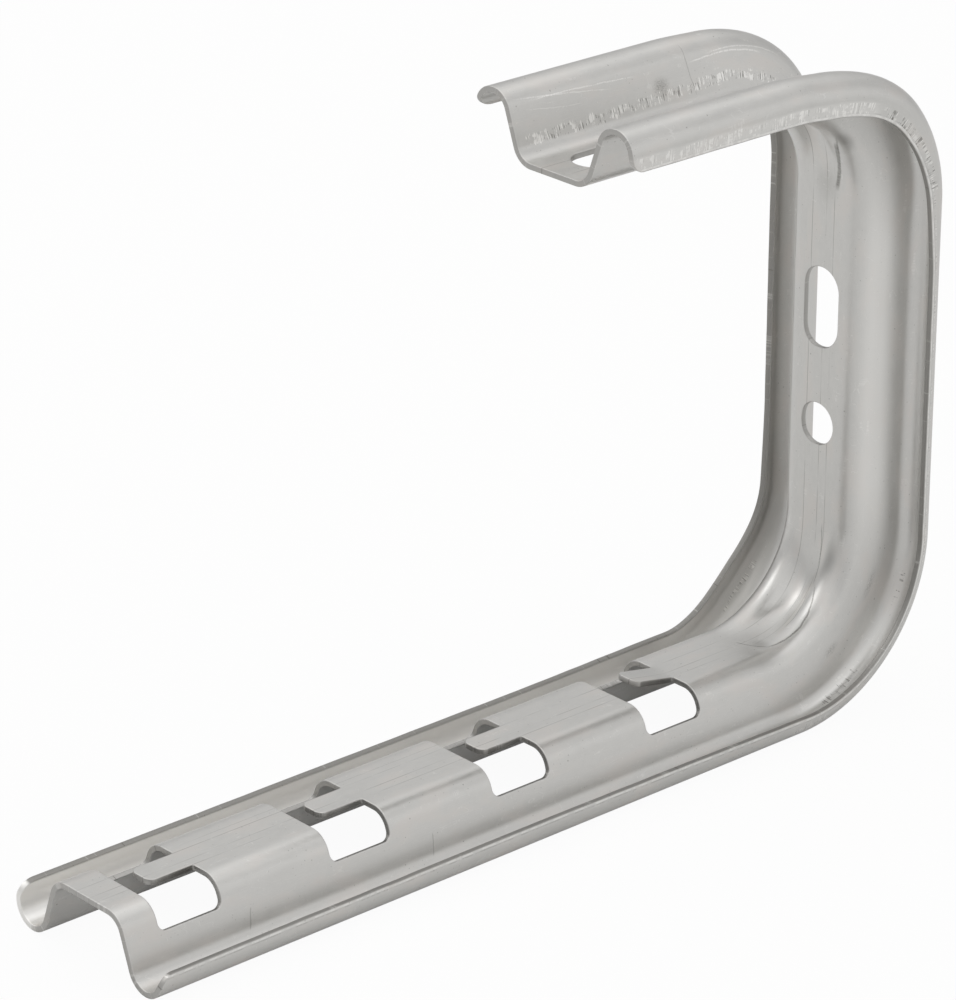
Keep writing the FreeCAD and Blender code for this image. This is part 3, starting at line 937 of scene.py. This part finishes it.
def millSteel(look, plan):
    material = bpy.data.materials.new("millSteel")
    material.use_nodes = True
    tree = material.node_tree
    tree.nodes.clear()
    bench = Wire(tree)
    along, across, _ = bench.node("ShaderNodeUVMap", {"uv_map": "flatSheet"}).xyz()
    s = along * metre
    v = across * metre
    cut = bench.node("ShaderNodeAttribute", {"attribute_name": "cutEdge"}, output="Fac")
    gap = bench.node("ShaderNodeAttribute", {"attribute_name": "lipGap"}, output="Fac") * metre
    near = v < 0.0
    steps, heights = steelSteps, steelHeights

    noise = {name: noiseOn(bench, s, v, *sizes) for name, sizes in steelNoises.items()}
    cloud, mottle, streaks = noise["cloud"], noise["mottle"], noise["streaks"]
    pits = noise["pits"].ease(*steps["pit"]) * noise["scuffs"].ease(*steps["pitPatch"])
    pits = pits * (0.3 + mottle)
    offLine = (noise["scuffs"] - 0.5).calc("ABSOLUTE")
    scuffs = offLine.ease(*steps["scuffLine"]) * streaks.ease(*steps["scuffStreak"])

    lines = 0.0
    edge, core = look["rollLineWidth"] * 1.4, look["rollLineWidth"] * 0.3
    for place in look["rollLines"]:
        lines = (v - place).calc("ABSOLUTE").ease(edge, core) + lines
    lines = lines * cloud.ease(*steps["rollLine"])

    bright = scuffs * look["scuffBright"]
    dark = pits * look["pitDark"] + lines * look["lineDark"]
    relief = 0.0
    for mark in pressMarks:
        area = markArea(plan, mark, s, v, gap, markFades["press"])
        area = area * (0.72 + mottle.ease(*steps["pressPatch"]) * 0.35)
        lit = (streaks * area).ease(*steps["pressLight"])
        dull = ((1.0 - streaks) * area).ease(*steps["pressDark"])
        bright = area * mark["brighten"] + lit * mark["bright"] + bright
        dark = dull * mark["dark"] + dark
        relief = area * (streaks - 0.5) + relief
    shake = (mottle - 0.5) * markLineEnds["shake"]
    # lines with darkness above zero are darkened; along the lower dish's folds this is painted
    # shade
    for markLine in markLines:
        line = markLineMask(plan, markLine, s, v, shake)
        if markLine["dark"] > 0:
            dark = line * (0.35 + streaks) + dark
        else:
            bright = line * (streaks.ease(*steps["scratchLight"]) + 0.2) + bright
        relief = relief - line * heights["markLine"]
    # dull patches, with painted shade and a painted dark reflection in the dishes
    for patch in patches:
        dark = patchMask(plan, patch, s, v, noise["fine"]) + dark
    # sheared lips: painted shade on the cut, a light ragged burr inside it made as a painted
    # highlight, and a fine line of painted shade beyond
    ragged = mottle.ease(*steps["burr"])
    burr = bandMask(gap, *look["burrHighlightBand"]) * near * (0.45 + ragged * 0.9)
    paintedShadeBesideBurr = bandMask(gap, *look["burrPaintedShadeBand"]) * ragged
    bright = burr * look["burrHighlightBright"] + bright
    # painted light: these bands brighten the far curl and lip and the upright's near corner
    offCut = gap.ease(*steps["paintedLight"])
    for mark in paintedLightBands:
        area = markArea(plan, mark, s, v, gap, markFades["paintedLight"])
        bright = area * offCut * mark["brighten"] + bright
    # painted shade on the cut faces, deeper along the lips
    cutPaintedShade = look["cutPaintedShade"] + (1.0 - gap.ease(*steps["lipCut"])) * look["lipCutPaintedShade"]
    dark = paintedShadeBesideBurr * look["burrPaintedShade"] + cut * cutPaintedShade + dark

    tone = look["tone"]
    for name, share in look["toneShifts"].items():
        tone = tone + (noise[name] - 0.5) * share
    grey = bench.node("ShaderNodeCombineColor", inputs={0: tone, 1: tone, 2: tone})
    warmth = cloud.ease(*steps["warm"]) * look["warmth"]
    colour = mixed(bench, 1.0, (*look["colour"], 1.0), grey, "MULTIPLY")
    colour = mixed(bench, warmth, colour, (*look["warmColour"], 1.0))
    colour = mixed(bench, dark.between(0.0, 1.0), colour, (*look["darkColour"], 1.0))
    colour = mixed(bench, bright.between(0.0, 1.0), colour, (*look["brightColour"], 1.0))
    roughness = look["roughness"]
    for name, share in look["roughnessShifts"].items():
        roughness = roughness + (noise[name] - 0.5) * share
    roughness = (roughness + cut * look["cutRoughness"]).between(*look["roughnessLimits"])
    height = noise["grain"] * heights["grain"] + noise["fine"] * heights["fine"]
    height = height + mottle * heights["mottle"] - pits * heights["pits"]
    height = height - lines * heights["lines"] + relief * heights["press"]
    bump = bench.node("ShaderNodeBump", inputs={
        "Strength": look["bumpStrength"], "Distance": look["bumpDistance"],
        "Height": height}, output="Normal")
    shader = bench.node("ShaderNodeBsdfPrincipled", inputs={
        "Base Color": colour, "Metallic": 1.0, "Roughness": roughness, "Normal": bump})
    bench.node("ShaderNodeOutputMaterial", inputs={"Surface": shader})
    return material


stageSizes = {
    "floorHalf": 6.0,
    "floorDrop": 0.0002,
    "floorColour": (0.78, 0.78, 0.775),
    "whiteShare": 0.95,               # how much plain white lies over the floor's own shading
    "mirrorShare": 0.07,              # the same, where the metal mirrors it
}


def paleFloor(sizes):
    half = sizes["floorHalf"]
    z = -sizes["floorDrop"]
    mesh = bpy.data.meshes.new("floor")
    corners = [(-half, -half, z), (half, -half, z), (half, half, z), (-half, half, z)]
    mesh.from_pydata(corners, [], [(0, 1, 2, 3)])
    floor = bpy.data.objects.new("floor", mesh)
    scene.collection.objects.link(floor)
    material = bpy.data.materials.new("paleFloor")
    material.use_nodes = True
    material.node_tree.nodes.clear()
    bench = Wire(material.node_tree)
    paint = bench.node("ShaderNodeBsdfDiffuse", inputs={"Color": (*sizes["floorColour"], 1.0)})
    glow = bench.node("ShaderNodeEmission", inputs={"Color": (1.0, 1.0, 1.0, 1.0), "Strength": 1.0})
    path = bench.node("ShaderNodeLightPath")
    mirrored = path.out("Is Glossy Ray") + path.out("Is Transmission Ray")
    share = path.out("Is Camera Ray") * sizes["whiteShare"]
    share = share + mirrored.between(0.0, 1.0) * sizes["mirrorShare"]
    shader = bench.node("ShaderNodeMixShader", inputs={0: share, 1: paint, 2: glow})
    bench.node("ShaderNodeOutputMaterial", inputs={"Surface": shader})
    mesh.materials.append(material)


studioLamps = [
    # name, place, aim, size, watts
    ("rearSoftbox", (-0.50, 0.92, 0.85), (-0.1, 0.2, 0.0), (0.6, 0.6), 1.3),
    ("overheadSoftbox", (0.35, -0.1, 1.5), (0.0, 0.0, 0.08), (1.2, 1.2), 1.5),
]
studioSky = {
    "colour": (1.0, 0.998, 0.992),
    "horizon": 0.54,
    "rise": 0.40,                     # lighter overhead
    "riseHeight": (0.15, 0.85),
    "front": 0.27,                    # lighter low down in front
    "frontWay": (0.50, -0.866),
    "frontSpread": (0.35, 1.0),
    "frontHeight": (0.3, 0.75),
    "flag": 0.20,                     # a soft darker patch high on the right
    "flagWay": (0.664, -0.242, 0.707),
    "flagSpread": (0.86, 0.99),
}


def studioLight():
    for name, place, aim, size, watts in studioLamps:
        data = bpy.data.lights.new(name, "AREA")
        data.shape = "RECTANGLE"
        data.size, data.size_y = size
        data.energy = watts
        lamp = bpy.data.objects.new(name, data)
        lamp.location = place
        lamp.rotation_euler = (Vector(aim) - Vector(place)).to_track_quat("-Z", "Y").to_euler()
        scene.collection.objects.link(lamp)
    world = bpy.data.worlds.new("studio")
    scene.world = world
    world.use_nodes = True
    world.node_tree.nodes.clear()
    bench = Wire(world.node_tree)
    sky = studioSky
    x, y, z = bench.node("ShaderNodeTexCoord", output="Generated").xyz()
    facing = x * sky["frontWay"][0] + y * sky["frontWay"][1]
    front = facing.ease(*sky["frontSpread"]) * (1.0 - z.ease(*sky["frontHeight"]))
    wayX, wayY, wayZ = sky["flagWay"]
    flag = (x * wayX + y * wayY + z * wayZ).ease(*sky["flagSpread"])
    glow = sky["horizon"] + sky["rise"] * z.ease(*sky["riseHeight"])
    glow = glow + sky["front"] * front - sky["flag"] * flag
    shown = bench.node("ShaderNodeBackground", inputs={
        "Color": (*sky["colour"], 1.0), "Strength": glow})
    bench.node("ShaderNodeOutputWorld", inputs={"Surface": shown})


photoCamera = {
    "place": (-0.677200, -0.751300, 0.509028),
    "turn": (66.93099, -0.11651, -41.71218),      # degrees
    "lens": 169.311,
    "sensor": 36.0,                               # mm, as the lens
    "clip": (0.01, 50.0),
}


def cameraLikePhoto(view):
    data = bpy.data.cameras.new("photoCamera")
    data.lens = view["lens"]
    data.sensor_width = view["sensor"]
    data.clip_start, data.clip_end = view["clip"]
    camera = bpy.data.objects.new("photoCamera", data)
    camera.location = view["place"]
    camera.rotation_euler = Euler([math.radians(a) for a in view["turn"]], "XYZ")
    scene.collection.objects.link(camera)
    scene.camera = camera


plan = stripPlan(bracketSheet)
steel = millSteel(steelLook, plan)
bracket = foldedBracket(steel, plan)
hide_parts("bracket")
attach(bracket, "root")
print("bracket folded")
paleFloor(stageSizes)
studioLight()
cameraLikePhoto(photoCamera)
scene.view_settings.view_transform = "Standard"
print("stage set")
